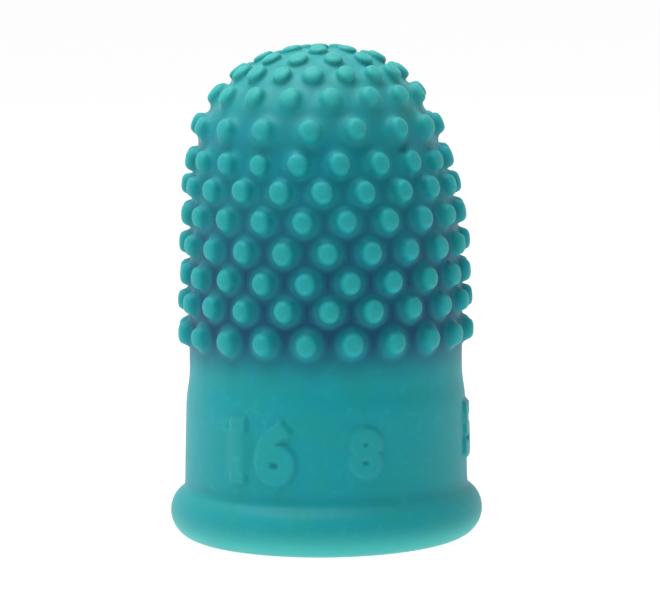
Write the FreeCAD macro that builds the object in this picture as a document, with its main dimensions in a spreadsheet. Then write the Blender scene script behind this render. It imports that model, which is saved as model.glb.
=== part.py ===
import FreeCAD, Part
import math
import os
import Sketcher

# Rubber finger tip for counting paper and notes: one moulding, open at the foot
# and closed by a dome. +Z is the axis of the finger. The origin lies on that
# axis, in the plane that the rolled edge rests on.

# Driving sizes: name, value in millimetres unless the note says otherwise.
SIZES = (
    ("bore_radius", 8.4, "inside of the mouth and of the straight bore"),
    ("wall_thickness", 0.9, "wall under the studs and in the dome"),
    ("band_wall", 1.28, "thicker wall of the smooth band above the rolled edge"),
    ("band_height", 9.2, "from the foot to the top of the smooth band"),
    ("step_height", 2.3, "S-shaped step from the band in to the neck"),
    ("neck_height", 3.5, "straight neck above the step"),
    ("nose_height", 18.2, "from the end of the straight neck to the top of the wall"),
    ("nose_draft", 2.7, "degrees that the wall leans in above the neck"),
    ("shoulder_radius", 25.0, "arc between the leaning wall and the dome"),
    ("dome_inset", 1.0, "the dome's radius is this much less than the neck's"),
    ("bead_radius", 1.84, "section of the rolled edge"),
    ("bead_projection", 0.99, "how far the rolled edge stands out of the band"),
    ("crease_radius", 0.35, "hollow between the rolled edge and the band"),
    ("mouth_bevel", 0.2, "bevel on the inner edge of the mouth"),
    ("stud_height", 0.87, "height above the wall of a gripping stud in a row"),
    ("top_stud_height", 0.5, "height of the top stud; the rings' studs lie between the two"),
    ("stud_root_radius", 0.95, "corner radius of a stud where it leaves the wall"),
    ("stud_waist_radius", 0.68, "corner radius at the waist, where the tip begins"),
    ("stud_waist_share", 0.65, "height of the waist, as a share of the stud's height"),
    ("stud_tip_radius", 0.36, "corner radius of the flat on the tip"),
    ("stud_embed", 0.3, "how deep the foot of a stud is buried in the wall"),
    ("stud_sides", 6, "number of sides of a stud"),
    ("first_row_rise", 2.9, "first row of studs above the top of the step"),
    ("row_pitch", 1.95, "height between one row of studs and the next"),
    ("row_studs", 20, "number of studs in a row round the upright wall"),
    ("row_turn", 1.5, "degrees from the front line to the nearest column of a row"),
    ("ring_pitch", 2.15, "arc between the rings of studs on the dome, at the tips"),
    ("ring_turn", -3.7, "degrees from the front line to the nearest column of a ring"),
    ("top_ring_studs", 5, "number of studs in the ring round the top stud"),
    ("second_ring_studs", 10, "number of studs in the next ring"),
    ("outer_ring_studs", 16, "number of studs in each outer ring of the dome"),
    ("outer_rings", 3, "number of outer rings"),
)

# What follows from the driving sizes, as formulas of the sheet.
DERIVED = (
    ("neck_radius", "=bore_radius + wall_thickness"),
    ("band_radius", "=bore_radius + band_wall"),
    ("bead_centre_radius", "=band_radius + bead_projection - bead_radius"),
    ("neck_foot", "=band_height + step_height"),
    ("nose_foot", "=neck_foot + neck_height"),
    ("wall_top", "=nose_foot + nose_height"),
    ("dome_radius", "=neck_radius - dome_inset"),
    ("cavity_top", "=wall_top - wall_thickness"),
    ("cavity_dome_radius", "=dome_radius - wall_thickness"),
    ("cavity_shoulder_radius", "=shoulder_radius - wall_thickness"),
)

V = FreeCAD.Vector
UP = V(0, 0, 1)
FULL_TURN = 360.0
FRONT = -90.0

# The sketcher numbers its own axes down from -1 and the points of a curve up from 1.
ROOT_POINT = -1
Y_AXIS = ROOT_POINT - 1
START, END, CENTRE = range(1, 4)


def make_sheet(doc):
    """Put the driving sizes and what follows from them in the sheet."""
    sheet = doc.addObject("Spreadsheet::Sheet", "sizes")
    rows = [(alias, str(value), note) for alias, value, note in SIZES]
    rows += [(alias, formula, "") for alias, formula in DERIVED]
    for row, (alias, content, note) in enumerate(rows, start=1):
        sheet.set("A%d" % row, alias)
        sheet.set("B%d" % row, content)
        sheet.set("C%d" % row, note)
        sheet.setAlias("B%d" % row, alias)
    doc.recompute()
    return sheet


class Outline:
    """A closed outline in a body's XZ plane: x is the radius, y is the height.

    The edges are drawn where the sizes put them, and each size is a named
    constraint that the sheet drives.
    """

    def __init__(self, body, name):
        plane = next(item for item in body.Origin.OriginFeatures
                     if item.Role == "XZ_Plane")
        self.sketch = body.newObject("Sketcher::SketchObject", name)
        self.sketch.AttachmentSupport = [(plane, "")]
        self.sketch.MapMode = "FlatFace"

    def line(self, start, end):
        return self.sketch.addGeometry(Part.LineSegment(V(*start, 0), V(*end, 0)))

    def arc(self, centre, radius, first, last):
        circle = Part.Circle(V(*centre, 0), UP, radius)
        return self.sketch.addGeometry(Part.ArcOfCircle(circle, first, last))

    def rule(self, *arguments):
        return self.sketch.addConstraint(Sketcher.Constraint(*arguments))

    def size(self, name, *arguments):
        """Add a dimension that reads the sheet's cell of the same name."""
        self.sketch.renameConstraint(self.rule(*arguments), name)
        self.sketch.setExpression("Constraints." + name, "sizes." + name)


class Nose:
    """Section of a nose: a leaning wall, a shoulder arc and a dome arc, all tangent.

    It starts at the given radius on the height where the straight neck ends.
    """

    def __init__(self, sizes, start_radius, top, dome_radius, shoulder_radius):
        self.start = (start_radius, sizes.nose_foot)
        self.top = top
        self.dome_radius = dome_radius
        self.dome_centre = top - dome_radius
        self.shoulder_radius = shoulder_radius
        self.lean = math.radians(sizes.nose_draft)
        reach = (start_radius * math.cos(self.lean)
                 + (sizes.nose_foot - self.dome_centre) * math.sin(self.lean))
        offset = shoulder_radius - dome_radius
        self.joint = self.lean + math.acos((shoulder_radius - reach) / offset)
        self.shoulder_centre = (-offset * math.cos(self.joint),
                                self.dome_centre - offset * math.sin(self.joint))

    def on_shoulder(self, angle):
        """Return the point of the shoulder whose normal rises by the angle."""
        return (self.shoulder_centre[0] + self.shoulder_radius * math.cos(angle),
                self.shoulder_centre[1] + self.shoulder_radius * math.sin(angle))

    def on_dome(self, angle):
        """Return the point of the dome whose normal rises by the angle."""
        return (self.dome_radius * math.cos(angle),
                self.dome_centre + self.dome_radius * math.sin(angle))

    def below_height(self, height, reach):
        """Return the point and the rise of the wall that carries a tip at a height.

        The tip stands out of the wall by the reach, square to it.
        """
        if height <= self.start[1]:
            return (self.start[0], height), 0.0
        rise = (height - self.shoulder_centre[1]) / (self.shoulder_radius + reach)
        angle = math.asin(min(rise, 1.0))
        if angle <= self.lean:
            foot = height - reach * math.sin(self.lean)
            radius = self.start[0] - (foot - self.start[1]) * math.tan(self.lean)
            return (radius, foot), self.lean
        if angle <= self.joint:
            return self.on_shoulder(angle), angle
        angle = math.asin((height - self.dome_centre) / (self.dome_radius + reach))
        return self.on_dome(angle), angle

    def below_arc(self, arc, reach):
        """Return the same for a tip that lies an arc's length from the top."""
        angle = math.pi / 2 - arc / (self.dome_radius + reach)
        if angle >= self.joint:
            return self.on_dome(angle), angle
        spent = (math.pi / 2 - self.joint) * (self.dome_radius + reach)
        angle = self.joint - (arc - spent) / (self.shoulder_radius + reach)
        return self.on_shoulder(angle), angle


def outer_nose(sizes):
    """Section of the outside of the wall above the neck."""
    return Nose(sizes, sizes.neck_radius, sizes.wall_top,
                sizes.dome_radius, sizes.shoulder_radius)


def inner_nose(sizes):
    """Section of the inside of the wall above the straight bore."""
    return Nose(sizes, sizes.bore_radius, sizes.cavity_top,
                sizes.cavity_dome_radius, sizes.cavity_shoulder_radius)


def draw_nose(outline, upright, nose, top_name, dome_name, shoulder_name):
    """Draw a nose on top of an upright line and close the outline on the axis."""
    wall = outline.line(nose.start, nose.on_shoulder(nose.lean))
    shoulder = outline.arc(nose.shoulder_centre, nose.shoulder_radius,
                           nose.lean, nose.joint)
    dome = outline.arc((0, nose.dome_centre), nose.dome_radius,
                       nose.joint, math.pi / 2)
    axis = outline.line((0, nose.top), (0, 0))
    outline.rule("Coincident", upright, END, wall, START)
    outline.rule("Tangent", wall, END, shoulder, START)
    outline.rule("Tangent", shoulder, END, dome, START)
    outline.rule("PointOnObject", dome, CENTRE, Y_AXIS)
    outline.rule("Coincident", dome, END, axis, START)
    outline.rule("Coincident", axis, END, ROOT_POINT, START)
    outline.rule("Vertical", axis)
    outline.size("nose_draft", "Angle", Y_AXIS, START, wall, START, nose.lean)
    outline.size(shoulder_name, "Radius", shoulder, nose.shoulder_radius)
    outline.size(dome_name, "Radius", dome, nose.dome_radius)
    outline.size(top_name, "DistanceY", ROOT_POINT, START, dome, END, nose.top)


def draw_wall(body, sizes):
    """Draw the outside: rolled edge, crease, band, S-shaped step, neck and nose."""
    outline = Outline(body, "wall_outline")
    bead_centre = (sizes.bead_centre_radius, sizes.bead_radius)
    crease_centre_radius = sizes.band_radius + sizes.crease_radius
    reach = sizes.bead_radius + sizes.crease_radius
    turn = math.acos((crease_centre_radius - bead_centre[0]) / reach)
    crease_height = bead_centre[1] + reach * math.sin(turn)
    inset = sizes.band_radius - sizes.neck_radius
    step_radius = (inset ** 2 + sizes.step_height ** 2) / (4 * inset)
    step_turn = math.acos(1 - inset / (2 * step_radius))

    foot = outline.line((0, 0), (sizes.bead_centre_radius, 0))
    bead = outline.arc(bead_centre, sizes.bead_radius, -math.pi / 2, turn)
    crease = outline.arc((crease_centre_radius, crease_height), sizes.crease_radius,
                         math.pi, math.pi + turn)
    band = outline.line((sizes.band_radius, crease_height),
                        (sizes.band_radius, sizes.band_height))
    outer = outline.arc((sizes.band_radius - step_radius, sizes.band_height),
                        step_radius, 0, step_turn)
    inner = outline.arc((sizes.neck_radius + step_radius, sizes.neck_foot),
                        step_radius, math.pi, math.pi + step_turn)
    neck = outline.line((sizes.neck_radius, sizes.neck_foot),
                        (sizes.neck_radius, sizes.nose_foot))

    outline.rule("Coincident", ROOT_POINT, START, foot, START)
    outline.rule("Horizontal", foot)
    outline.rule("Tangent", foot, END, bead, START)
    outline.rule("Tangent", bead, END, crease, END)
    outline.rule("Tangent", crease, START, band, START)
    outline.rule("Vertical", band)
    outline.rule("Tangent", band, END, outer, START)
    outline.rule("Tangent", outer, END, inner, END)
    outline.rule("Equal", outer, inner)
    outline.rule("Tangent", inner, START, neck, START)
    outline.rule("Vertical", neck)
    outline.size("bead_centre_radius", "DistanceX", foot, START, foot, END,
                 sizes.bead_centre_radius)
    outline.size("bead_radius", "Radius", bead, sizes.bead_radius)
    outline.size("crease_radius", "Radius", crease, sizes.crease_radius)
    outline.size("band_radius", "DistanceX", ROOT_POINT, START, band, END,
                 sizes.band_radius)
    outline.size("band_height", "DistanceY", ROOT_POINT, START, band, END,
                 sizes.band_height)
    outline.size("neck_radius", "DistanceX", ROOT_POINT, START, neck, START,
                 sizes.neck_radius)
    outline.size("neck_foot", "DistanceY", ROOT_POINT, START, neck, START,
                 sizes.neck_foot)
    outline.size("nose_foot", "DistanceY", ROOT_POINT, START, neck, END,
                 sizes.nose_foot)
    draw_nose(outline, neck, outer_nose(sizes),
              "wall_top", "dome_radius", "shoulder_radius")
    return outline.sketch


def draw_cavity(body, sizes):
    """Draw the inside: the straight bore for the finger and the inner nose."""
    outline = Outline(body, "cavity_outline")
    mouth = outline.line((0, 0), (sizes.bore_radius, 0))
    bore = outline.line((sizes.bore_radius, 0), (sizes.bore_radius, sizes.nose_foot))
    outline.rule("Coincident", ROOT_POINT, START, mouth, START)
    outline.rule("Horizontal", mouth)
    outline.rule("Coincident", mouth, END, bore, START)
    outline.rule("Vertical", bore)
    outline.size("bore_radius", "DistanceX", mouth, START, mouth, END,
                 sizes.bore_radius)
    outline.size("nose_foot", "DistanceY", ROOT_POINT, START, bore, END,
                 sizes.nose_foot)
    draw_nose(outline, bore, inner_nose(sizes),
              "cavity_top", "cavity_dome_radius", "cavity_shoulder_radius")
    return outline.sketch


def mouth_edge(shape, sizes):
    """Name the lowest circle of the bore."""
    circles = [(edge.Curve.Center.z, number)
               for number, edge in enumerate(shape.Edges, start=1)
               if not edge.Degenerated and isinstance(edge.Curve, Part.Circle)
               and math.isclose(edge.Curve.Radius, sizes.bore_radius, abs_tol=1e-5)]
    return "Edge%d" % min(circles)[1]


def make_shell(doc, sizes):
    """Revolve the wall with its rolled edge, hollow it and bevel the mouth."""
    body = doc.addObject("PartDesign::Body", "shell")
    wall_outline = draw_wall(body, sizes)
    wall = body.newObject("PartDesign::Revolution", "wall")
    wall.Profile = wall_outline
    wall.ReferenceAxis = (wall_outline, ["V_Axis"])
    wall.Angle = FULL_TURN
    cavity_outline = draw_cavity(body, sizes)
    cavity = body.newObject("PartDesign::Groove", "cavity")
    cavity.Profile = cavity_outline
    cavity.ReferenceAxis = (cavity_outline, ["V_Axis"])
    cavity.Angle = FULL_TURN
    doc.recompute()
    mouth = body.newObject("PartDesign::Chamfer", "mouth")
    mouth.Base = (cavity, [mouth_edge(cavity.Shape, sizes)])
    mouth.setExpression("Size", "sizes.mouth_bevel")
    body.Tip = mouth
    doc.recompute()
    return body


def make_stud(sizes, height):
    """Make one gripping stud round +Z, from flat faces: a root and a steeper tip.

    Its foot goes on down into the wall at the slope of the root.
    """
    waist_height = height * sizes.stud_waist_share
    root_slope = (sizes.stud_root_radius - sizes.stud_waist_radius) / waist_height
    foot_radius = sizes.stud_root_radius + root_slope * sizes.stud_embed
    stages = (
        (foot_radius, -sizes.stud_embed),
        (sizes.stud_waist_radius, waist_height),
        (sizes.stud_tip_radius, height),
    )
    turns = [2 * math.pi * side / sizes.stud_sides for side in range(int(sizes.stud_sides))]
    rings = [[V(radius * math.cos(turn), radius * math.sin(turn), height) for turn in turns]
             for radius, height in stages]
    faces = [flat_face(rings[0]), flat_face(rings[-1])]
    for lower, upper in zip(rings, rings[1:]):
        for side in range(len(turns)):
            faces.append(flat_face((lower[side - 1], lower[side], upper[side], upper[side - 1])))
    return Part.Solid(Part.Shell(faces))


def flat_face(corners):
    """Return the flat face between the corners."""
    return Part.Face(Part.makePolygon([*corners, corners[0]]))


def stud_place(point, rise, turn):
    """Stand a stud square on the wall, at a turn in degrees from the front line."""
    radius, height = point
    tilt = FreeCAD.Rotation(V(0, 1, 0), 90.0 - math.degrees(rise))
    on_wall = FreeCAD.Placement(V(radius, 0, height), tilt)
    return FreeCAD.Placement(V(0, 0, 0), FreeCAD.Rotation(UP, FRONT + turn)).multiply(on_wall)


def rings_of_studs(sizes):
    """Return the courses on the dome: wall, rise, studs, turn of the first, height."""
    nose = outer_nose(sizes)
    counts = [sizes.top_ring_studs, sizes.second_ring_studs]
    counts += [sizes.outer_ring_studs] * int(sizes.outer_rings)
    growth = (sizes.stud_height - sizes.top_stud_height) / (len(counts) + 1)
    courses = [((0.0, sizes.wall_top), math.pi / 2, 1, 0.0, sizes.top_stud_height)]
    for ring, count in enumerate(counts, start=1):
        stagger = 0.0 if ring % 2 else 0.5 * FULL_TURN / count
        height = sizes.top_stud_height + ring * growth
        point, rise = nose.below_arc(ring * sizes.ring_pitch, height)
        courses.append((point, rise, int(count), sizes.ring_turn + stagger, height))
    return courses


def rows_of_studs(sizes, top):
    """Return the courses on the upright wall, as many as fit below the top."""
    nose = outer_nose(sizes)
    first = sizes.neck_foot + sizes.first_row_rise
    courses = []
    for row in range(int((top - first) / sizes.row_pitch)):
        stagger = 0.5 * FULL_TURN / sizes.row_studs if row % 2 == 0 else 0.0
        point, rise = nose.below_height(first + row * sizes.row_pitch, sizes.stud_height)
        courses.append((point, rise, int(sizes.row_studs), sizes.row_turn + stagger,
                        sizes.stud_height))
    return courses


def make_studs(sizes):
    """Make all the studs, standing where they go."""
    rings = rings_of_studs(sizes)
    point, rise, _, _, height = rings[-1]
    lowest_ring = point[1] + height * math.sin(rise)
    studs = []
    for point, rise, count, turn, height in rings + rows_of_studs(sizes, lowest_ring):
        stud = make_stud(sizes, height)
        for index in range(count):
            copy = stud.copy()
            copy.Placement = stud_place(point, rise, turn + FULL_TURN * index / count)
            studs.append(copy)
    return studs


def make_finger_tip(doc, shell, sizes):
    """Fuse the shell and all its studs into the one moulding."""
    moulding = shell.Shape.fuse(make_studs(sizes))
    if len(moulding.Solids) != 1:
        raise RuntimeError("the moulding came out as %d solids" % len(moulding.Solids))
    finger_tip = doc.addObject("Part::Feature", "finger_tip")
    finger_tip.Label = "finger_tip"
    finger_tip.Shape = moulding.Solids[0]
    return finger_tip


def check(doc):
    """Stop if an object failed to compute or a shape is missing or invalid."""
    for item in doc.Objects:
        if "Invalid" in item.State or "Error" in item.State:
            raise RuntimeError("%s is %s" % (item.Name, item.State))
        shape = getattr(item, "Shape", None)
        if item.isDerivedFrom("PartDesign::Feature") or item.isDerivedFrom("Part::Feature"):
            if shape is None or shape.isNull() or not shape.isValid():
                raise RuntimeError("%s has no valid shape" % item.Name)


def main():
    doc = FreeCAD.newDocument("rubber_finger_tip")
    sizes = make_sheet(doc)
    shell = make_shell(doc, sizes)
    finger_tip = make_finger_tip(doc, shell, sizes)
    doc.recompute()
    check(doc)
    os.makedirs("parts", exist_ok=True)
    finger_tip.Shape.exportStep(os.path.join("parts", finger_tip.Label + ".step"))
    print("%s: %d faces, %.1f mm3" % (
        finger_tip.Label, len(finger_tip.Shape.Faces), finger_tip.Shape.Volume))


main()
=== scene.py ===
"""Rubber finger tip for counting paper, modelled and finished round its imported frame.

The whole thing is one moulding. Its control cage is a stack of rings, from the
inside of the dome down through the mouth, round the rolled edge and up over the
studs, and each stud is grown from its own corner-cut vertex of the cage.
"""

import logging
import math
import random
from dataclasses import dataclass, field
from enum import Enum

import bmesh
import bpy
from mathutils import Matrix, Vector
from mathutils.kdtree import KDTree


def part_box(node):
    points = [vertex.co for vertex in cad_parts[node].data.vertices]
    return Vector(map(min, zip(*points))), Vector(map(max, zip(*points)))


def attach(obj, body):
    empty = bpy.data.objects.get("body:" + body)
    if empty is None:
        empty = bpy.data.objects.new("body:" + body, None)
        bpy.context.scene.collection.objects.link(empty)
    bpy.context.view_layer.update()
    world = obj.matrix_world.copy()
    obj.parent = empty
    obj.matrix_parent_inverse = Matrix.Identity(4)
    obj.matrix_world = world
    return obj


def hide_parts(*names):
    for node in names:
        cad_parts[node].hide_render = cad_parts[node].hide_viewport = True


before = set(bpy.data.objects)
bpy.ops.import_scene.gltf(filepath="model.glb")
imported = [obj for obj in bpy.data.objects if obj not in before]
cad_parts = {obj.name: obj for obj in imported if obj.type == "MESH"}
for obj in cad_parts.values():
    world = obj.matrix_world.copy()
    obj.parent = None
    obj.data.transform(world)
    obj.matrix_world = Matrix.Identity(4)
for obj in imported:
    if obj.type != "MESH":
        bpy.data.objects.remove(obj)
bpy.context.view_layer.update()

log = logging.getLogger("finger_tip")

MM = 0.001
FRONT = -math.pi / 2
NUMERAL_GROUP = "numerals"
# The stored tones: painted shade between raised forms and in creases, and painted highlight on
# their tops, the dome and the rolled foot.
PAINTED_SHADE_TONE = "painted_shade"
PAINTED_HIGHLIGHT_TONE = "painted_highlight"


class Reshape(Enum):
    """The modifiers that finish the moulding."""

    SMOOTH = "SUBSURF"
    WEIGH = "VERTEX_WEIGHT_PROXIMITY"
    RAISE = "DISPLACE"


def deselect_all() -> None:
    """Leave nothing selected in object mode."""
    bpy.ops.object.select_all(action="DESELECT")


def make_active(piece: bpy.types.Object) -> None:
    """Select one object alone and make it active.

    Args:
        piece: The object that the next operators act on.
    """
    deselect_all()
    piece.select_set(True)
    bpy.context.view_layer.objects.active = piece


def apply_modifier(piece: bpy.types.Object, kind: Reshape, **settings: object) -> None:
    """Add a modifier to a piece, set it up and apply it.

    Args:
        piece: The mesh object.
        kind: What the modifier does.
        **settings: The modifier's own properties.
    """
    make_active(piece)
    modifier = piece.modifiers.new(kind.name.title(), kind.value)
    for name, value in settings.items():
        setattr(modifier, name, value)
    bpy.ops.object.modifier_apply(modifier=modifier.name)


def smooth_step(low: float, high: float, value: float) -> float:
    """Rise smoothly from 0 at low to 1 at high.

    Args:
        low: Where the rise starts.
        high: Where it ends.
        value: Where it is read.

    Returns:
        A number from 0 to 1.
    """
    share = min(max((value - low) / (high - low), 0.0), 1.0)
    return share * share * (3.0 - 2.0 * share)


def swell(step: float) -> float:
    """Tell how much larger a ring of the cage is than the circle it smooths to.

    The smoothing draws a corner to four parts of itself and one of each neighbour.

    Args:
        step: Angle between two neighbouring corners of the ring.

    Returns:
        The ratio of the two radii.
    """
    return 6.0 / (4.0 + 2.0 * math.cos(step))


@dataclass(frozen=True)
class Nose:
    """Section of a leaning wall, a shoulder arc and a dome arc, all tangent.

    Lengths are in mm and angles in radians.
    """

    start_radius: float
    start_height: float
    top: float
    dome_radius: float
    shoulder_radius: float
    lean: float

    @property
    def dome_centre(self) -> float:
        """Height of the dome's centre."""
        return self.top - self.dome_radius

    @property
    def joint(self) -> float:
        """Rise of the normal where the shoulder meets the dome."""
        reach = (self.start_radius * math.cos(self.lean)
                 + (self.start_height - self.dome_centre) * math.sin(self.lean))
        offset = self.shoulder_radius - self.dome_radius
        return self.lean + math.acos((self.shoulder_radius - reach) / offset)

    @property
    def shoulder_centre(self) -> tuple[float, float]:
        """Radius and height of the shoulder arc's centre."""
        offset = self.shoulder_radius - self.dome_radius
        return (-offset * math.cos(self.joint),
                self.dome_centre - offset * math.sin(self.joint))

    def on_shoulder(self, rise: float) -> tuple[float, float]:
        """Return the shoulder's point whose normal has this rise."""
        radius, height = self.shoulder_centre
        return (radius + self.shoulder_radius * math.cos(rise),
                height + self.shoulder_radius * math.sin(rise))

    def on_dome(self, rise: float) -> tuple[float, float]:
        """Return the dome's point whose normal has this rise."""
        return (self.dome_radius * math.cos(rise),
                self.dome_centre + self.dome_radius * math.sin(rise))

    def rise_near(self, radius: float, height: float) -> float:
        """Find how steeply the wall's normal rises beside a point.

        Args:
            radius: Distance of the point from the axis.
            height: Height of the point.

        Returns:
            The rise of the normal, in radians.
        """
        if height <= self.start_height:
            return 0.0
        on_dome = math.atan2(height - self.dome_centre, radius)
        if on_dome >= self.joint:
            return on_dome
        centre = self.shoulder_centre
        return max(math.atan2(height - centre[1], radius - centre[0]), self.lean)

    def clearance(self, radius: float, height: float) -> float:
        """Measure how far a point stands out of the wall.

        Args:
            radius: Distance of the point from the axis.
            height: Height of the point.

        Returns:
            The distance square to the wall, below 0 for a point inside it.
        """
        rise = self.rise_near(radius, height)
        if rise <= 0.0:
            return radius - self.start_radius
        if rise >= self.joint:
            return math.hypot(radius, height - self.dome_centre) - self.dome_radius
        if rise > self.lean:
            centre = self.shoulder_centre
            return math.hypot(radius - centre[0], height - centre[1]) - self.shoulder_radius
        return ((radius - self.start_radius) * math.cos(rise)
                + (height - self.start_height) * math.sin(rise))

    def below_height(self, height: float, reach: float) -> tuple[tuple[float, float], float]:
        """Find the wall that carries a tip at a height.

        Args:
            height: Height of the tip.
            reach: How far the tip stands out of the wall.

        Returns:
            The wall's point under the tip and the rise of its normal.
        """
        if height <= self.start_height:
            return (self.start_radius, height), 0.0
        centre = self.shoulder_centre
        rise = math.asin(min((height - centre[1]) / (self.shoulder_radius + reach), 1.0))
        if rise <= self.lean:
            foot = height - reach * math.sin(self.lean)
            radius = self.start_radius - (foot - self.start_height) * math.tan(self.lean)
            return (radius, foot), self.lean
        if rise <= self.joint:
            return self.on_shoulder(rise), rise
        rise = math.asin((height - self.dome_centre) / (self.dome_radius + reach))
        return self.on_dome(rise), rise

    def below_arc(self, arc: float, reach: float) -> tuple[tuple[float, float], float]:
        """Find the wall that carries a tip an arc's length from the top.

        Args:
            arc: Length along the tips, from the top stud.
            reach: How far the tips stand out of the wall.

        Returns:
            The wall's point under the tip and the rise of its normal.
        """
        rise = math.pi / 2 - arc / (self.dome_radius + reach)
        if rise >= self.joint:
            return self.on_dome(rise), rise
        spent = (math.pi / 2 - self.joint) * (self.dome_radius + reach)
        rise = self.joint - (arc - spent) / (self.shoulder_radius + reach)
        return self.on_shoulder(rise), rise


@dataclass(frozen=True)
class Section:
    """Sizes of the moulding's section in mm, as the solid in the frame has them.

    Only the band differs: it leans in towards its top, and the cage starts it at
    band_foot, a little over the crease.
    """

    bore_radius: float = 8.4
    wall: float = 0.9
    band_radius: float = 9.68
    band_foot: float = 3.85
    band_height: float = 9.2
    band_lean: float = 0.13
    neck_radius: float = 9.3
    neck_foot: float = 11.5
    nose_foot: float = 15.0
    wall_top: float = 33.2
    draft: float = math.radians(2.7)
    dome_radius: float = 8.3
    shoulder_radius: float = 25.0
    bead_radius: float = 1.84
    bead_centre_radius: float = 8.83
    mouth_bevel: float = 0.2

    def band_at(self, height: float) -> float:
        """Return the band's radius at a height, in mm."""
        share = (height - self.band_foot) / (self.band_height - self.band_foot)
        return self.band_radius - self.band_lean * min(max(share, 0.0), 1.0)

    @property
    def outer(self) -> Nose:
        """The outside above the neck."""
        return Nose(self.neck_radius, self.nose_foot, self.wall_top,
                    self.dome_radius, self.shoulder_radius, self.draft)

    @property
    def inner(self) -> Nose:
        """The inside above the straight bore."""
        return Nose(self.bore_radius, self.nose_foot, self.wall_top - self.wall,
                    self.dome_radius - self.wall, self.shoulder_radius - self.wall, self.draft)


@dataclass(frozen=True)
class CageRings:
    """Where the plain rings of the cage lie, in mm and degrees.

    The mouth, the foot and the crease are set a few hundredths off the section, about
    as much as the smoothing moves them.
    """

    dome_rises: tuple[float, ...] = (82.0, 66.0, 50.0, 34.0)
    bore_heights: tuple[float, ...] = (14.6, 11.4, 8.2, 5.0, 2.4, 0.75)
    mouth_outset: float = 0.02
    mouth_drop: float = 0.02
    bead_turns: tuple[float, ...] = (-90.0, -62.0, -35.0, -8.0, 18.0, 42.0)
    bead_step: float = 27.0
    foot_drop: float = 0.03
    crease_height: float = 3.42
    crease_outset: float = 0.03
    band_foot_inset: float = 0.01
    band_heights: tuple[float, ...] = (4.7, 6.1, 7.5, 8.7)
    step_shares: tuple[float, ...] = (0.15, 0.4, 0.6, 0.85)
    neck_heights: tuple[float, ...] = (11.9, 12.9)

    def inside(self, part: Section) -> list[tuple[float, float]]:
        """List the rings from the inner pole down to the mouth.

        Args:
            part: The section that they follow.

        Returns:
            The radius and height of each ring.
        """
        nose = part.inner
        rings = [nose.on_dome(math.radians(rise)) for rise in self.dome_rises]
        midway = 0.5 * (nose.joint + nose.lean)
        rings += [nose.on_shoulder(rise) for rise in (nose.joint, midway, nose.lean)]
        rings += [(part.bore_radius, height) for height in self.bore_heights]
        rings.append((part.bore_radius + self.mouth_outset, 0.5 * part.mouth_bevel))
        rings.append((part.bore_radius + part.mouth_bevel, -self.mouth_drop))
        return rings

    def outside(self, part: Section) -> list[tuple[float, float]]:
        """List the rings from the foot up to the last one under the studs.

        Args:
            part: The section that they follow.

        Returns:
            The radius and height of each ring.
        """
        bead = part.bead_radius * swell(math.radians(self.bead_step))
        turns = [math.radians(turn) for turn in self.bead_turns]
        rings = [(part.bead_centre_radius + bead * math.cos(turn),
                  part.bead_radius + bead * math.sin(turn)) for turn in turns]
        rings[0] = (part.bead_centre_radius, -self.foot_drop)
        rings.append((part.band_radius + self.crease_outset, self.crease_height))
        rings.append((part.band_radius - self.band_foot_inset, part.band_foot))
        rings += [(part.band_at(height), height) for height in self.band_heights]
        inset = part.band_at(part.band_height) - part.neck_radius
        for share in self.step_shares:
            height = part.band_height + share * (part.neck_foot - part.band_height)
            drop = 0.5 * inset * (1.0 + math.cos(math.pi * share))
            rings.append((part.neck_radius + drop, height))
        return rings + [(part.neck_radius, height) for height in self.neck_heights]


@dataclass(frozen=True)
class Course:
    """One level ring of studs, in mm and radians: where it runs and how its studs stand.

    The fill is the height of a stud's foot over the wall, and the reach is the height
    of the stud over its foot.
    """

    radius: float
    height: float
    rise: float
    count: int
    turn: float
    root: float
    reach: float
    fill: float


@dataclass(frozen=True)
class StudSeat:
    """The place of one stud on the wall, with its own small differences.

    The centre is in metres, the width is a factor, and the other sizes are in mm.
    """

    centre: Vector
    out: Vector
    across: Vector
    along: Vector
    root: float
    width: float
    reach: float
    fill: float


def seat_tree(seats: list[StudSeat]) -> KDTree:
    """Sort the seats into a tree that finds the nearest one.

    Args:
        seats: The seats of the studs.

    Returns:
        The tree, with each seat's place in the list.
    """
    tree = KDTree(len(seats))
    for index, seat in enumerate(seats):
        tree.insert(seat.centre, index)
    tree.balance()
    return tree


def nearest_faces(faces: list[bmesh.types.BMFace],
                  seats: list[StudSeat]) -> list[bmesh.types.BMFace]:
    """Find the face that lies nearest to each seat.

    Args:
        faces: The faces to choose from.
        seats: The seats of the studs.

    Returns:
        One face for each seat, in the same order.
    """
    centres = [(face.calc_center_median(), face) for face in faces]
    return [min(centres, key=lambda pair: (pair[0] - seat.centre).length)[1]
            for seat in seats]


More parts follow.
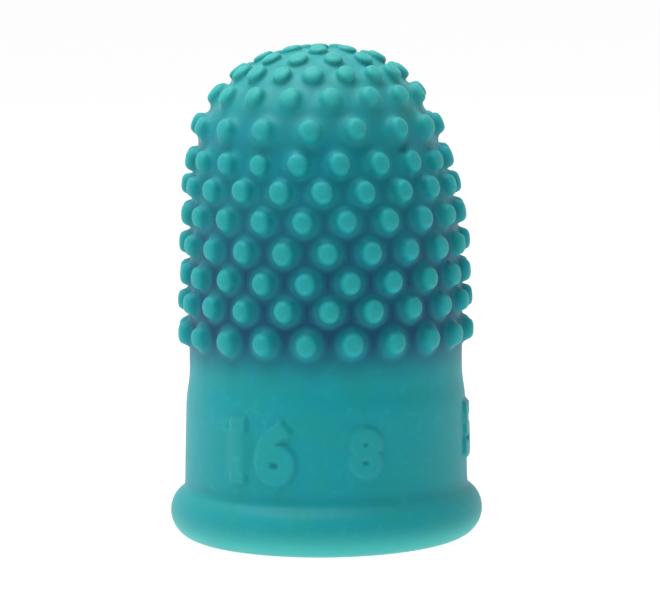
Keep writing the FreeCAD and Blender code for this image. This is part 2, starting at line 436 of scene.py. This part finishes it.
@dataclass(frozen=True)
class StudField:
    """Sizes and layout of the gripping studs, in mm and degrees.

    The two heights and the pitches place the studs, and are the solid's. The cage's
    own studs stand row_height and ring_heights over their feet, and the fills lift
    the feet off the wall. The rings are counted from the top stud down, and it has
    the first height and fill of theirs.
    """

    section: Section
    height: float = 0.87
    top_height: float = 0.5
    row_height: float = 0.73
    row_fill: float = 0.05
    ring_heights: tuple[float, ...] = (0.36, 0.40, 0.47, 0.55, 0.64, 0.72)
    ring_fills: tuple[float, ...] = (0.05, 0.10, 0.20, 0.26, 0.24, 0.16)
    first_row_rise: float = 2.9
    row_pitch: float = 1.95
    row_count: int = 20
    row_margin: float = 0.5
    row_turn: float = 1.6
    row_drift: float = -0.25
    row_shifts: tuple[float, ...] = (-0.2, 0.05, -0.05, 0.0, 0.12, 0.12, 0.0)
    ring_pitch: float = 2.15
    ring_shifts: tuple[float, ...] = (-0.1, -0.2, -0.4, -0.4, 0.0)
    ring_turn: float = -3.7
    ring_counts: tuple[int, ...] = (5, 10, 16, 16, 16)
    corner_cut: float = 0.9
    corners: int = 6
    inset_width: float = 0.1
    inset_rise: float = 0.2
    row_root: float = 1.02
    ring_root: float = 0.95
    top_root: float = 0.92
    root_room: float = 0.11
    cage_waist: float = 0.82
    cage_waist_share: float = 0.50
    cage_tip: float = 0.64
    cage_tip_share: float = 1.12
    stretch: float = 1.08
    width_spread: float = 0.05
    reach_spread: float = 0.05
    place_spread: float = 0.05
    seed: int = 11

    def courses(self) -> list[Course]:
        """Lay out the rows on the wall and the rings on the dome.

        Returns:
            The courses from the lowest to the highest, without the top stud.
        """
        nose = self.section.outer
        courses = []
        for row, shift in enumerate(self.row_shifts):
            height = self.section.neck_foot + self.first_row_rise + row * self.row_pitch + shift
            point, rise = nose.below_height(height, self.height)
            stagger = 0.5 if row % 2 == 0 else 0.0
            turn = self.row_turn + self.row_drift * row + stagger * 360.0 / self.row_count
            courses.append(Course(*point, rise, self.row_count, math.radians(turn),
                                  self.row_root, self.row_height, self.row_fill))
        rings = []
        growth = (self.height - self.top_height) / (len(self.ring_counts) + 1)
        for ring, (count, shift) in enumerate(zip(self.ring_counts, self.ring_shifts), start=1):
            reach = self.top_height + ring * growth
            point, rise = nose.below_arc(ring * self.ring_pitch + shift, reach)
            stagger = 0.0 if ring % 2 else 0.5
            turn = self.ring_turn + stagger * 360.0 / count
            rings.append(Course(*point, rise, count, math.radians(turn), self.ring_root,
                                self.ring_heights[ring], self.ring_fills[ring]))
        return courses + rings[::-1]

    def seats(self) -> list[StudSeat]:
        """Place every stud, with its own small differences.

        Returns:
            One seat for each stud, the top one last.
        """
        rng = random.Random(self.seed)
        seats = []
        for course in self.courses():
            for index in range(course.count):
                azimuth = FRONT + course.turn + 2.0 * math.pi * index / course.count
                seats.append(self.seat(course, azimuth, rng))
        top = Course(0.0, self.section.wall_top, math.pi / 2, 1, 0.0, self.top_root,
                     self.ring_heights[0], self.ring_fills[0])
        seats.append(self.seat(top, FRONT, rng))
        return seats

    def seat(self, course: Course, azimuth: float, rng: random.Random) -> StudSeat:
        """Seat one stud on the wall, a little off its even place.

        Args:
            course: The course that the stud belongs to.
            azimuth: Angle round the axis.
            rng: Source of the small differences.

        Returns:
            The stud's seat.
        """
        rise = course.rise
        outward = Vector((math.cos(azimuth), math.sin(azimuth), 0.0))
        out = outward * math.cos(rise) + Vector((0.0, 0.0, math.sin(rise)))
        across = Vector((-math.sin(azimuth), math.cos(azimuth), 0.0))
        along = out.cross(across)
        centre = outward * course.radius + Vector((0.0, 0.0, course.height))
        centre += across * rng.uniform(-self.place_spread, self.place_spread)
        centre += along * rng.uniform(-self.place_spread, self.place_spread)
        width = 1.0 + rng.uniform(-self.width_spread, self.width_spread)
        reach = course.reach * (1.0 + rng.uniform(-self.reach_spread, self.reach_spread))
        return StudSeat(centre * MM, out, across, along, course.root, width, reach, course.fill)

    def clear_roots(self, seats: list[StudSeat]) -> list[float]:
        """Keep every stud's root clear of the nearest other stud.

        Args:
            seats: The seats of the studs.

        Returns:
            One root radius in mm for each seat, in the same order.
        """
        tree = seat_tree(seats)
        roots = []
        for seat in seats:
            nearest = tree.find_n(seat.centre, 2)[1][2] / MM
            roots.append(min(seat.root, (0.5 * nearest - self.root_room) / self.stretch))
        return roots


@dataclass(frozen=True)
class Numeral:
    """A plain raised digit on the band: its middle in degrees and mm, its height in mm."""

    digit: str
    azimuth: float
    middle: float
    tall: float
    bolder: float = 0.02

    def lettered(self, section: Section) -> bpy.types.Object:
        """Make the digit as a mesh that lies on the band.

        Args:
            section: The section that has the band.

        Returns:
            The mesh object, with its place in its mesh.
        """
        deselect_all()
        bpy.ops.object.text_add()
        bpy.context.object.data.body = self.digit
        bpy.context.object.data.offset = self.bolder
        bpy.ops.object.convert(target="MESH")
        letter = bpy.context.object
        corners = [vertex.co.copy() for vertex in letter.data.vertices]
        low = Vector([min(corner[axis] for corner in corners) for axis in range(2)])
        high = Vector([max(corner[axis] for corner in corners) for axis in range(2)])
        scale = self.tall / (high.y - low.y)
        centre = 0.5 * (low + high)
        for vertex in letter.data.vertices:
            across, along = scale * (vertex.co.xy - centre)
            height = self.middle + along
            radius = section.band_at(height)
            turn = FRONT + math.radians(self.azimuth) + across / radius
            vertex.co = MM * Vector((radius * math.cos(turn), radius * math.sin(turn), height))
        return letter


@dataclass(frozen=True)
class ToneMap:
    """Where the painted shade and the painted highlight begin and end.

    A stud's flank and tip are shares of its own height, and the other bounds are in mm.
    Painted highlight makes the dome, the top of the rolled foot and most of all its underside,
    where the table's light falls, paler than the wall, and painted shade makes the crease over the
    foot a little deeper.
    """

    # Bounds of the painted shade between the studs and of the painted highlight on their tips.
    flank: tuple[float, float] = (0.08, 0.68)
    tip: tuple[float, float] = (0.50, 0.95)
    skin: tuple[float, float] = (-0.7, -0.3)
    between: tuple[float, float] = (0.95, 1.40)
    between_start: float = 0.50
    under_first_row: tuple[float, float] = (-3.0, 0.4)
    fade: tuple[float, float] = (17.5, 28.0)
    fade_share: float = 0.62
    # Bounds and shares of painted light by height: the dome lit from above, a highlight on the
    # foot's top, and its underside lit by the table.
    dome: tuple[float, float] = (26.0, 33.6)
    dome_painted_light: float = 2.3
    bead: tuple[float, float] = (3.9, 3.3)
    bead_painted_highlight: float = 0.5
    rim: tuple[float, float] = (2.3, 0.5)
    rim_painted_table_light: float = 3.0
    # Painted shade in the crease over the rolled foot.
    crease: float = 3.87
    crease_reach: float = 0.40
    crease_share: float = 0.12
    # Painted shade round the foot of each digit and painted highlight on its top.
    numeral_foot_shade: float = 0.7
    numeral_top_highlight: float = 0.5

    def painted_shade(self, climb: float, gap: float, away: float, height: float) -> float:
        """Return the share of painted shade between the studs.

        Args:
            climb: Share of the nearest stud's height.
            gap: Distance out of the wall.
            away: Distance from the middle of the nearest stud.
            height: Height above the table.

        Returns:
            A number from 0 to 1.
        """
        # Painted shade: deepest at the studs' feet and in the gaps under the row above, fading up
        # towards the dome where the top lamp reaches.
        depth = (1.0 - smooth_step(*self.flank, climb)) * smooth_step(*self.skin, gap)
        depth *= self.between_start + (1.0 - self.between_start) * smooth_step(*self.between, away)
        return depth * (1.0 - self.fade_share * smooth_step(*self.fade, height))

    def painted_crease_shade(self, height: float) -> float:
        """Return the share of painted shade in the crease over the rolled foot."""
        return self.crease_share * (1.0 - smooth_step(0.0, self.crease_reach,
                                                      abs(height - self.crease)))

    def painted_light_at(self, height: float) -> float:
        """Return the share of painted light by height: on the dome, as a highlight on the top of
        the rolled foot, and on its underside, lit by the table.
        """
        return (self.dome_painted_light * smooth_step(*self.dome, height)
                + self.bead_painted_highlight * smooth_step(*self.bead, height)
                + self.rim_painted_table_light * smooth_step(*self.rim, height))


@dataclass
class Moulding:
    """The rubber moulding: cage, studs, subdivision, raised numerals and tones.

    Sizes are in mm. The sway pairs a height with how far the wall stands to the right.
    """

    section: Section = field(default_factory=Section)
    rings: CageRings = field(default_factory=CageRings)
    tones: ToneMap = field(default_factory=ToneMap)
    studs: StudField = field(init=False)
    piece: bpy.types.Object | None = field(default=None, init=False)
    around: int = 40
    levels: int = 2
    name: str = "finger_tip_rubber"
    numerals: tuple[Numeral, ...] = (
        Numeral("1", -37.0, 7.0, 3.9),
        Numeral("6", -20.5, 7.0, 3.9),
        Numeral("8", 15.5, 7.0, 2.9),
        Numeral("5", 82.0, 7.4, 3.3),
    )
    numeral_relief: float = 0.25
    numeral_edge: float = 0.50
    numeral_core: float = 0.1
    numeral_margin: float = 0.6
    numeral_cuts: int = 3
    band_overlap: float = 1.0
    sway: tuple[tuple[float, float], ...] = (
        (3.0, 0.02), (15.0, 0.09), (20.0, 0.09), (29.0, -0.34), (33.6, -0.10))

    def __post_init__(self) -> None:
        self.studs = StudField(self.section)

    def build(self) -> bpy.types.Object:
        """Model the moulding.

        Returns:
            The finished mesh object, with its place in its mesh.
        """
        self.stack_rings()
        self.cut_stud_corners()
        self.grow_studs()
        apply_modifier(self.piece, Reshape.SMOOTH, levels=self.levels, render_levels=self.levels)
        self.raise_numerals()
        self.mark_tones()
        self.settle()
        make_active(self.piece)
        bpy.ops.object.shade_smooth()
        return self.piece

    def stack_rings(self) -> None:
        """Stack the rings, skin them and close both ends.

        A circle's first vertex lies at the back, and half a turn brings it to the front.
        """
        outset = swell(2.0 * math.pi / self.around)
        plain = self.rings.inside(self.section) + self.rings.outside(self.section)
        rings = [(radius * outset, height, self.around, 0.0) for radius, height in plain]
        rings += [(course.radius, course.height, course.count, course.turn)
                  for course in self.studs.courses()]
        deselect_all()
        last = None
        for radius, height, count, turn in rings:
            bpy.ops.mesh.primitive_circle_add(
                vertices=count, radius=radius * MM, fill_type="NOTHING",
                location=(0.0, 0.0, height * MM), rotation=(0.0, 0.0, turn + math.pi))
            if last is None:
                self.piece = bpy.context.object
                self.piece.name = self.name
                self.piece.data.name = self.name
                self.piece.data.transform(self.piece.matrix_world)
                self.piece.matrix_world = Matrix.Identity(4)
                bpy.ops.object.mode_set(mode="EDIT")
            else:
                self.select_last(last + count)
                bpy.ops.mesh.bridge_edge_loops()
            last = count
        self.close_ends()

    def edit_mesh(self) -> bmesh.types.BMesh:
        """Return the piece's mesh in edit mode, with its vertices ready to count."""
        mesh = bmesh.from_edit_mesh(self.piece.data)
        mesh.verts.ensure_lookup_table()
        return mesh

    def select_last(self, count: int) -> None:
        """Select the vertices that were added last, and the edges between them.

        Args:
            count: How many vertices there are to select.
        """
        bpy.ops.mesh.select_mode(type="VERT")
        bpy.ops.mesh.select_all(action="DESELECT")
        mesh = self.edit_mesh()
        for vertex in mesh.verts[-count:]:
            vertex.select = True
        mesh.select_flush(True)
        bmesh.update_edit_mesh(self.piece.data)

    def close_ends(self) -> None:
        """Cap the inner pole and raise the top vertex over the last ring of studs."""
        self.select_last(self.studs.courses()[-1].count)
        bpy.ops.mesh.edge_face_add()
        bpy.ops.mesh.poke()
        mesh = self.edit_mesh()
        top = min(mesh.verts, key=lambda vertex: vertex.co.xy.length)
        top.co = Vector((0.0, 0.0, self.section.wall_top * MM))
        bpy.ops.mesh.select_all(action="DESELECT")
        for vertex in mesh.verts[:self.around]:
            vertex.select = True
        mesh.select_flush(True)
        bmesh.update_edit_mesh(self.piece.data)
        bpy.ops.mesh.edge_face_add()
        bpy.ops.mesh.select_all(action="SELECT")
        bpy.ops.mesh.normals_make_consistent(inside=False)

    def cut_stud_corners(self) -> None:
        """Triangulate the studded wall and cut a corner patch at every stud."""
        mesh = self.edit_mesh()
        floor = (self.studs.courses()[0].height - self.studs.row_margin) * MM
        bpy.ops.mesh.select_all(action="DESELECT")
        for face in mesh.faces:
            if max(vertex.co.z for vertex in face.verts) > floor and self.is_outside(face):
                face.select = True
        mesh.select_flush(True)
        bmesh.update_edit_mesh(self.piece.data)
        bpy.ops.mesh.quads_convert_to_tris(quad_method="SHORTEST_DIAGONAL")
        bpy.ops.mesh.select_all(action="DESELECT")
        mesh = self.edit_mesh()
        for vertex in mesh.verts:
            if vertex.co.z > floor and self.stands_on_wall(vertex.co):
                vertex.select = True
        bmesh.update_edit_mesh(self.piece.data)
        bpy.ops.mesh.bevel(offset_type="OFFSET", offset=self.studs.corner_cut * MM,
                           segments=1, affect="VERTICES", clamp_overlap=False)

    def stands_on_wall(self, point: Vector) -> bool:
        """Tell whether a point lies on the outside of the wall."""
        radius = math.hypot(point.x, point.y) / MM
        gap = self.section.outer.clearance(radius, point.z / MM)
        return abs(gap) < 0.5 * self.section.wall

    def is_outside(self, face: bmesh.types.BMFace) -> bool:
        """Tell whether a face belongs to the outside of the wall."""
        return all(self.stands_on_wall(vertex.co) for vertex in face.verts)

    def grow_studs(self) -> None:
        """Round each corner patch, then inset it twice to raise the stud.

        The insets only add the faces, and round_patch moves them to their sizes. Most
        patches have the same number of corners, and those with more or fewer get a
        width that smooths to the same circle.
        """
        studs = self.studs
        seats = studs.seats()
        bpy.ops.mesh.select_mode(type="FACE")
        bpy.ops.mesh.select_all(action="DESELECT")
        mesh = self.edit_mesh()
        patches = nearest_faces([face for face in mesh.faces if self.is_outside(face)], seats)
        for seat, face, root in zip(seats, patches, studs.clear_roots(seats)):
            face.select = True
            self.round_patch(face, seat, root, seat.fill)
        bmesh.update_edit_mesh(self.piece.data)
        for radius, share in ((studs.cage_waist, studs.cage_waist_share),
                              (studs.cage_tip, studs.cage_tip_share)):
            bpy.ops.mesh.inset(thickness=studs.inset_width * MM, depth=studs.inset_rise * MM,
                               use_individual=True)
            mesh = self.edit_mesh()
            caps = [face for face in mesh.faces if face.select]
            for seat, face in zip(seats, nearest_faces(caps, seats)):
                evened = (swell(2.0 * math.pi / len(face.verts))
                          / swell(2.0 * math.pi / studs.corners))
                self.round_patch(face, seat, radius * seat.width * evened,
                                 seat.fill + share * seat.reach)
            bmesh.update_edit_mesh(self.piece.data)
        bpy.ops.object.mode_set(mode="OBJECT")

    def round_patch(self, face: bmesh.types.BMFace, seat: StudSeat, radius: float,
                    height: float) -> None:
        """Put a face's corners on an even circle over a seat.

        Args:
            face: The face to move.
            seat: The seat that it belongs to.
            radius: Radius of the circle, in mm.
            height: Height of the circle above the wall, in mm.
        """
        corners = [loop.vert for loop in face.loops]
        step = 2.0 * math.pi / len(corners)
        turns = []
        for corner in corners:
            arm = corner.co - seat.centre
            turns.append(math.atan2(arm.dot(seat.along), arm.dot(seat.across)))
        spin = 1.0 if math.sin(turns[1] - turns[0]) > 0.0 else -1.0
        drift = [turn - spin * step * index for index, turn in enumerate(turns)]
        start = math.atan2(sum(math.sin(turn) for turn in drift),
                           sum(math.cos(turn) for turn in drift))
        for index, corner in enumerate(corners):
            turn = start + spin * step * index
            corner.co = seat.centre + radius * MM * (
                math.cos(turn) * seat.across + self.studs.stretch * math.sin(turn) * seat.along)
            self.drop_to_wall(corner)
            corner.co += seat.out * height * MM

    def drop_to_wall(self, vertex: bmesh.types.BMVert) -> None:
        """Move a vertex square on to the outside of the wall.

        Args:
            vertex: A vertex of the cage.
        """
        nose = self.section.outer
        radius = math.hypot(vertex.co.x, vertex.co.y) / MM
        height = vertex.co.z / MM
        rise = nose.rise_near(radius, height)
        gap = nose.clearance(radius, height) * MM
        outward = Vector((vertex.co.x, vertex.co.y, 0.0)).normalized()
        vertex.co -= gap * (outward * math.cos(rise) + Vector((0.0, 0.0, math.sin(rise))))

    def raise_numerals(self) -> None:
        """Swell the band outward over every digit, with soft edges."""
        letters = [numeral.lettered(self.section) for numeral in self.numerals]
        deselect_all()
        for letter in letters:
            letter.select_set(True)
        bpy.context.view_layer.objects.active = letters[0]
        bpy.ops.object.join()
        stencil = bpy.context.object
        self.refine_band([vertex.co.copy() for vertex in stencil.data.vertices])
        top = self.section.band_height * MM
        patch = [vertex.index for vertex in self.piece.data.vertices
                 if vertex.co.z < top + self.band_overlap * MM
                 and vertex.co.xy.length > self.section.neck_radius * MM]
        self.piece.vertex_groups.new(name=NUMERAL_GROUP).add(patch, 1.0, "REPLACE")
        apply_modifier(self.piece, Reshape.WEIGH, vertex_group=NUMERAL_GROUP,
                       target=stencil, proximity_mode="GEOMETRY", proximity_geometry={"FACE"},
                       min_dist=self.numeral_edge * MM,
                       max_dist=self.numeral_core * self.numeral_edge * MM,
                       falloff_type="SMOOTH")
        apply_modifier(self.piece, Reshape.RAISE, vertex_group=NUMERAL_GROUP, mid_level=0.0,
                       strength=self.numeral_relief * MM)
        bpy.data.objects.remove(stencil, do_unlink=True)

    def refine_band(self, points: list[Vector]) -> None:
        """Cut the band's faces finer round the digits.

        Args:
            points: The points of the digits.
        """
        margin = self.numeral_margin * MM
        make_active(self.piece)
        bpy.ops.object.mode_set(mode="EDIT")
        bpy.ops.mesh.select_mode(type="FACE")
        bpy.ops.mesh.select_all(action="DESELECT")
        mesh = self.edit_mesh()
        for face in mesh.faces:
            centre = face.calc_center_median()
            if (centre.xy.length > self.section.neck_radius * MM
                    and any((centre - point).length < margin for point in points)):
                face.select = True
        bmesh.update_edit_mesh(self.piece.data)
        bpy.ops.mesh.subdivide(number_cuts=self.numeral_cuts)
        bpy.ops.object.mode_set(mode="OBJECT")

    def mark_tones(self) -> None:
        """Store painted shade where each point lies deep between raised forms, and painted
        highlight near their tops.
        """
        mesh = self.piece.data
        nose = self.section.outer
        tones = self.tones
        first = self.studs.courses()[0].height
        start, full = (first + offset for offset in tones.under_first_row)
        painted_shades = mesh.attributes.new(PAINTED_SHADE_TONE, "FLOAT", "POINT")
        painted_highlights = mesh.attributes.new(PAINTED_HIGHLIGHT_TONE, "FLOAT", "POINT")
        seats = self.studs.seats()
        tree = seat_tree(seats)
        for vertex, painted_shade, painted_highlight in zip(mesh.vertices, painted_shades.data, painted_highlights.data):
            radius = math.hypot(vertex.co.x, vertex.co.y) / MM
            height = vertex.co.z / MM
            gap = nose.clearance(radius, height)
            _, nearest, away = tree.find(vertex.co)
            climb = (gap - seats[nearest].fill) / seats[nearest].reach
            among = smooth_step(start, full, height)
            raised = sum(link.weight for link in vertex.groups)
            # Painted shade between the studs, round the foot of each digit and in the crease over
            # the rolled foot.
            painted_shade.value = (tones.painted_shade(climb, gap, away / MM, height) * among
                            + tones.numeral_foot_shade * raised * (1.0 - raised)
                            + tones.painted_crease_shade(height))
            # Painted highlight on the stud tips and the digits' tops, and by height on the dome
            # and the rolled foot.
            painted_highlight.value = (smooth_step(*tones.tip, climb) * among
                           + tones.numeral_top_highlight * raised + tones.painted_light_at(height))

    def settle(self) -> None:
        """Let the soft wall stand a little off its axis, by the sway at each height."""
        for vertex in self.piece.data.vertices:
            height = vertex.co.z / MM
            offset = self.sway[0][1]
            for (low, before), (high, after) in zip(self.sway, self.sway[1:]):
                offset += (after - before) * smooth_step(low, high, height)
            vertex.co.x += offset * MM


def linear(code: str) -> tuple[float, float, float, float]:
    """Turn an sRGB hex colour into linear RGBA.

    Args:
        code: The colour as six hex digits after a hash sign.

    Returns:
        Linear red, green and blue, and an alpha of 1.
    """
    values = []
    for start in (1, 3, 5):
        value = int(code[start:start + 2], 16) / 255.0
        low = value / 12.92
        high = ((value + 0.055) / 1.055) ** 2.4
        values.append(low if value <= 0.04045 else high)
    return (*values, 1.0)


def add_node(tree: bpy.types.NodeTree, kind: str, inputs: dict[str | int, object] | None = None,
             **settings: object) -> bpy.types.Node:
    """Add a node, set it up and fill or link its inputs.

    Args:
        tree: The material's node tree.
        kind: The node's type name.
        inputs: A value, or the socket to link, for each input.
        **settings: The node's own properties.

    Returns:
        The new node.
    """
    node = tree.nodes.new(kind)
    for name, value in settings.items():
        setattr(node, name, value)
    for key, value in (inputs or {}).items():
        if isinstance(value, bpy.types.NodeSocket):
            tree.links.new(value, node.inputs[key])
        else:
            node.inputs[key].default_value = value
    return node


def followed_ray(tree: bpy.types.NodeTree) -> bpy.types.NodeSocket:
    """Tell the rays that the eye follows from those that only carry light.

    Args:
        tree: The node tree of a material or of the world.

    Returns:
        1 for a camera, glossy or transmission ray, and 0 for any other.
    """
    path = add_node(tree, "ShaderNodeLightPath")
    mirrored = add_node(tree, "ShaderNodeMath", {0: path.outputs["Is Camera Ray"],
                                                 1: path.outputs["Is Glossy Ray"]},
                        operation="MAXIMUM")
    followed = add_node(tree, "ShaderNodeMath", {0: mirrored.outputs[0],
                                                 1: path.outputs["Is Transmission Ray"]},
                        operation="MAXIMUM")
    return followed.outputs[0]


@dataclass(frozen=True)
class Cloud:
    """A patchy layer of colour that shows where its noise lies between two bounds.

    The size is that of a lump in mm, the detail is the number of finer octaves, and
    the share is how much of the layer shows at most.
    """

    colour: str
    size: float
    detail: float
    bounds: tuple[float, float]
    share: float


@dataclass(frozen=True)
class Mark:
    """A layer of colour that shows by a share of a tone stored on the mesh."""

    colour: str
    tone: str
    share: float


@dataclass(frozen=True)
class MouldedRubber:
    """Natural rubber, pigmented teal all through and moulded in a satin tool.

    The eye sees a soft, powdery sheen with no hard highlight and slightly cloudy pigment. A bluer,
    deeper painted shade lies where the wall lies between the studs, and a pale painted highlight
    on the stud tips, the dome and the rolled foot. A little of the light scatters under the skin.
    Sizes are in mm.
    """

    name: str = "moulded_teal_rubber"
    body: str = "#008790"
    clouds: tuple[Cloud, ...] = (
        Cloud("#03878a", 2.4, 3.0, (0.40, 0.64), 1.0),
        Cloud("#14999a", 0.7, 4.0, (0.50, 0.78), 0.40),
    )
    marks: tuple[Mark, ...] = (
        # Painted shade between the studs and in the creases, then painted highlight on the tips,
        # the dome and the rolled foot.
        Mark("#003f60", PAINTED_SHADE_TONE, 1.0),
        Mark("#40aaa0", PAINTED_HIGHLIGHT_TONE, 0.17),
    )
    grain_size: float = 0.16
    grain_detail: float = 2.0
    grain_height: float = 0.008
    roughness: float = 0.52
    refraction: float = 1.25
    scatter: float = 0.35
    scatter_depth: float = 0.6
    scatter_reach: tuple[float, float, float] = (0.5, 1.0, 1.0)
    sheen: float = 0.06
    sheen_roughness: float = 0.5

    def make(self) -> bpy.types.Material:
        """Build the material.

        Returns:
            The material, ready for a slot.
        """
        material = bpy.data.materials.new(self.name)
        material.use_nodes = True
        tree = material.node_tree
        shader = tree.nodes["Principled BSDF"]
        place = add_node(tree, "ShaderNodeTexCoord").outputs["Object"]
        tree.links.new(self.lay_colours(tree, place), shader.inputs["Base Color"])
        grain = add_node(tree, "ShaderNodeTexNoise",
                         {"Vector": place, "Scale": 1.0 / (self.grain_size * MM),
                          "Detail": self.grain_detail})
        bump = add_node(tree, "ShaderNodeBump",
                        {"Height": grain.outputs["Fac"], "Distance": self.grain_height * MM,
                         "Strength": 1.0})
        tree.links.new(bump.outputs["Normal"], shader.inputs["Normal"])
        shader.inputs["Roughness"].default_value = self.roughness
        shader.inputs["IOR"].default_value = self.refraction
        shader.inputs["Subsurface Weight"].default_value = self.scatter
        shader.inputs["Subsurface Radius"].default_value = self.scatter_reach
        shader.inputs["Subsurface Scale"].default_value = self.scatter_depth * MM
        shader.inputs["Sheen Weight"].default_value = self.sheen
        shader.inputs["Sheen Roughness"].default_value = self.sheen_roughness
        return material

    def lay_colours(self, tree: bpy.types.NodeTree,
                    place: bpy.types.NodeSocket) -> bpy.types.NodeSocket:
        """Lay the clouds and then the marks, painted shade and painted highlight, over the body's
        own colour.

        The mix node has its colours on the inputs 6 and 7 and on the output 2.

        Args:
            tree: The material's node tree.
            place: The coordinates that the clouds read.

        Returns:
            The colour of the skin.
        """
        colour = linear(self.body)
        for cloud in self.clouds:
            low, high = cloud.bounds
            lumps = add_node(tree, "ShaderNodeTexNoise",
                             {"Vector": place, "Scale": 1.0 / (cloud.size * MM),
                              "Detail": cloud.detail})
            share = add_node(tree, "ShaderNodeMapRange",
                             {"Value": lumps.outputs["Fac"], "From Min": low,
                              "From Max": high, "To Max": cloud.share},
                             interpolation_type="SMOOTHSTEP")
            mixed = add_node(tree, "ShaderNodeMix",
                             {0: share.outputs["Result"], 6: colour, 7: linear(cloud.colour)},
                             data_type="RGBA")
            colour = mixed.outputs[2]
        for mark in self.marks:
            stored = add_node(tree, "ShaderNodeAttribute", attribute_name=mark.tone)
            share = add_node(tree, "ShaderNodeMath", {0: stored.outputs["Fac"], 1: mark.share},
                             operation="MULTIPLY")
            mixed = add_node(tree, "ShaderNodeMix",
                             {0: share.outputs[0], 6: colour, 7: linear(mark.colour)},
                             data_type="RGBA")
            colour = mixed.outputs[2]
        return colour


@dataclass(frozen=True)
class PaleTable:
    """Matt white table top: white to the eye, with a soft shadow under the part.

    The eye sees the glow over the matt top, and the part is lit by the panel over it.
    Each has its share of the mix and its strength.
    """

    name: str = "matt_white_table"
    tone: str = "#f2f2f0"
    glow: float = 0.86
    glow_level: float = 1.12
    panel: float = 0.50
    panel_level: float = 2.55

    def make(self) -> bpy.types.Material:
        """Build the material.

        Returns:
            The material, ready for a slot.
        """
        material = bpy.data.materials.new(self.name)
        material.use_nodes = True
        tree = material.node_tree
        tree.nodes.remove(tree.nodes["Principled BSDF"])
        matt = add_node(tree, "ShaderNodeBsdfDiffuse", {"Color": linear(self.tone)})
        followed = followed_ray(tree)
        share = add_node(tree, "ShaderNodeMapRange",
                         {"Value": followed, "To Min": self.panel, "To Max": self.glow})
        level = add_node(tree, "ShaderNodeMapRange",
                         {"Value": followed, "To Min": self.panel_level,
                          "To Max": self.glow_level})
        white = add_node(tree, "ShaderNodeEmission", {"Strength": level.outputs["Result"]})
        mixed = add_node(tree, "ShaderNodeMixShader", {0: share.outputs[0],
                                                       1: matt.outputs[0], 2: white.outputs[0]})
        tree.links.new(mixed.outputs[0], tree.nodes["Material Output"].inputs["Surface"])
        return material


@dataclass(frozen=True)
class SoftBox:
    """A square lamp that faces the part, with its place in mm and its power in watts."""

    name: str
    place: tuple[float, float, float]
    side: float
    power: float

    def add(self, aim: Vector) -> None:
        """Add the lamp.

        Args:
            aim: The point that it faces, in metres.
        """
        place = Vector(self.place) * MM
        turn = (aim - place).to_track_quat("-Z", "Y").to_euler()
        bpy.ops.object.light_add(type="AREA", location=place, rotation=turn)
        lamp = bpy.context.object
        lamp.name = self.name
        lamp.data.size = self.side * MM
        lamp.data.energy = self.power


@dataclass
class Studio:
    """Table, lamps, surroundings and camera, in mm, degrees and pixels."""

    table_side: float = 6000.0
    sky_level: float = 0.165
    boxes: tuple[SoftBox, ...] = (
        SoftBox("left_box", (-240.0, -150.0, 140.0), 240.0, 0.140),
        SoftBox("top_box", (-60.0, -10.0, 320.0), 260.0, 1.56),
    )
    camera_place: tuple[float, float, float] = (0.41, -226.0, 41.43)
    camera_pitch: float = 6.3
    camera_roll: float = -0.60
    focal_pixels: float = 3332.0
    frame_pixels: float = 660.0
    clip_start: float = 10.0

    def build(self) -> None:
        """Set the stage round the part."""
        low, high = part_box("finger_tip")
        aim = 0.5 * (low + high)
        self.add_table()
        for box in self.boxes:
            box.add(aim)
        self.add_sky()
        self.add_camera()
        bpy.context.scene.view_settings.view_transform = "Standard"

    def add_table(self) -> None:
        """Add the table top that the part stands on."""
        deselect_all()
        bpy.ops.mesh.primitive_plane_add(size=self.table_side * MM)
        table = bpy.context.object
        table.name = "table_top"
        table.data.materials.append(PaleTable().make())

    def add_sky(self) -> None:
        """Surround the part with even light that the eye sees as white."""
        world = bpy.data.worlds.new("light_tent")
        bpy.context.scene.world = world
        world.use_nodes = True
        tree = world.node_tree
        level = add_node(tree, "ShaderNodeMapRange",
                         {"Value": followed_ray(tree), "To Min": self.sky_level, "To Max": 1.0})
        sky = tree.nodes["Background"]
        sky.inputs["Color"].default_value = (1.0, 1.0, 1.0, 1.0)
        tree.links.new(level.outputs["Result"], sky.inputs["Strength"])

    def add_camera(self) -> None:
        """Add the camera where the photo was taken from, and make it the scene's own."""
        data = bpy.data.cameras.new("photo_camera")
        camera = bpy.data.objects.new("photo_camera", data)
        bpy.context.scene.collection.objects.link(camera)
        data.sensor_fit = "HORIZONTAL"
        data.lens = self.focal_pixels * data.sensor_width / self.frame_pixels
        data.clip_start = self.clip_start * MM
        tilt = Matrix.Rotation(math.radians(90.0 - self.camera_pitch), 4, "X")
        roll = Matrix.Rotation(math.radians(self.camera_roll), 4, "Z")
        place = Matrix.Translation(Vector(self.camera_place) * MM)
        camera.matrix_world = place @ tilt @ roll
        bpy.context.scene.camera = camera


def main() -> None:
    """Build the part, dress it and hand it to the frame."""
    logging.basicConfig(level=logging.INFO, format="%(name)s: %(message)s")
    moulding = Moulding()
    piece = moulding.build()
    piece.data.materials.append(MouldedRubber().make())
    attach(piece, "root")
    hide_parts("finger_tip")
    log.info("%s has %d faces", piece.name, len(piece.data.polygons))
    Studio().build()


if __name__ == "__main__":
    main()
